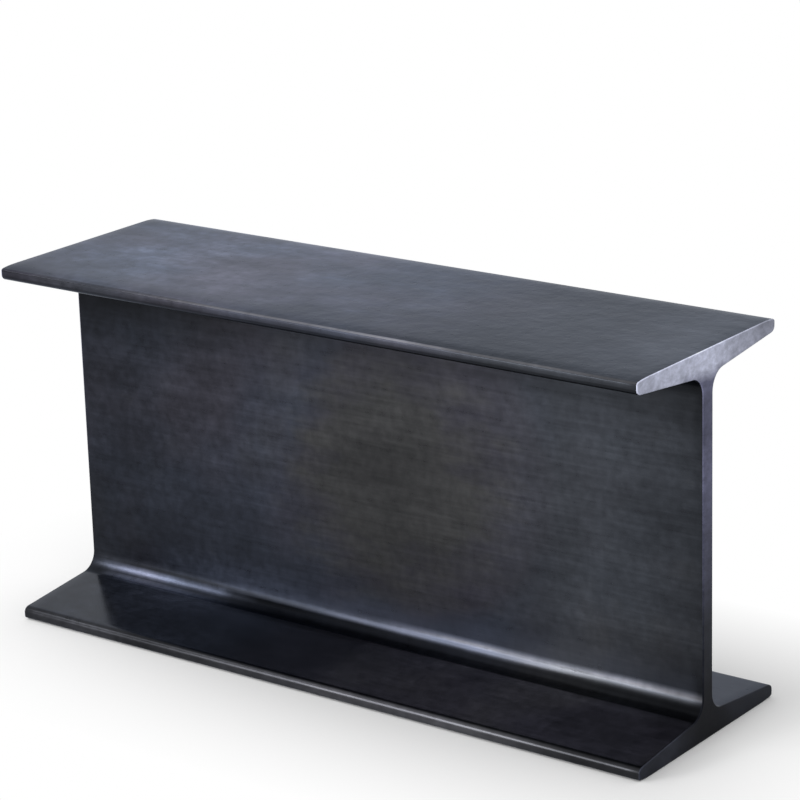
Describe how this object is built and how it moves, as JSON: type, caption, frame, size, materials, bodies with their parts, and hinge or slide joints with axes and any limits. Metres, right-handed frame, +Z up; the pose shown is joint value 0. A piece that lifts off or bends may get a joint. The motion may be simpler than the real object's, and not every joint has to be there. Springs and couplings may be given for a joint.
{
  "type": "steel i-beam",
  "caption": "Short length of rolled steel I-beam with a plain web, tapered flanges, rounded toes and square sawn ends.",
  "frame": {"origin": "on the floor, under the middle of the lower flange", "axes": "+X along the beam, +Y across the flanges, +Z up through the web"},
  "size_m": [0.3048, 0.096, 0.153],
  "materials": {
    "steel": "blackened satin steel with a mottled mill finish"
  },
  "bodies": {
    "root": {"i_beam": "steel"}
  },
  "joints": []
}
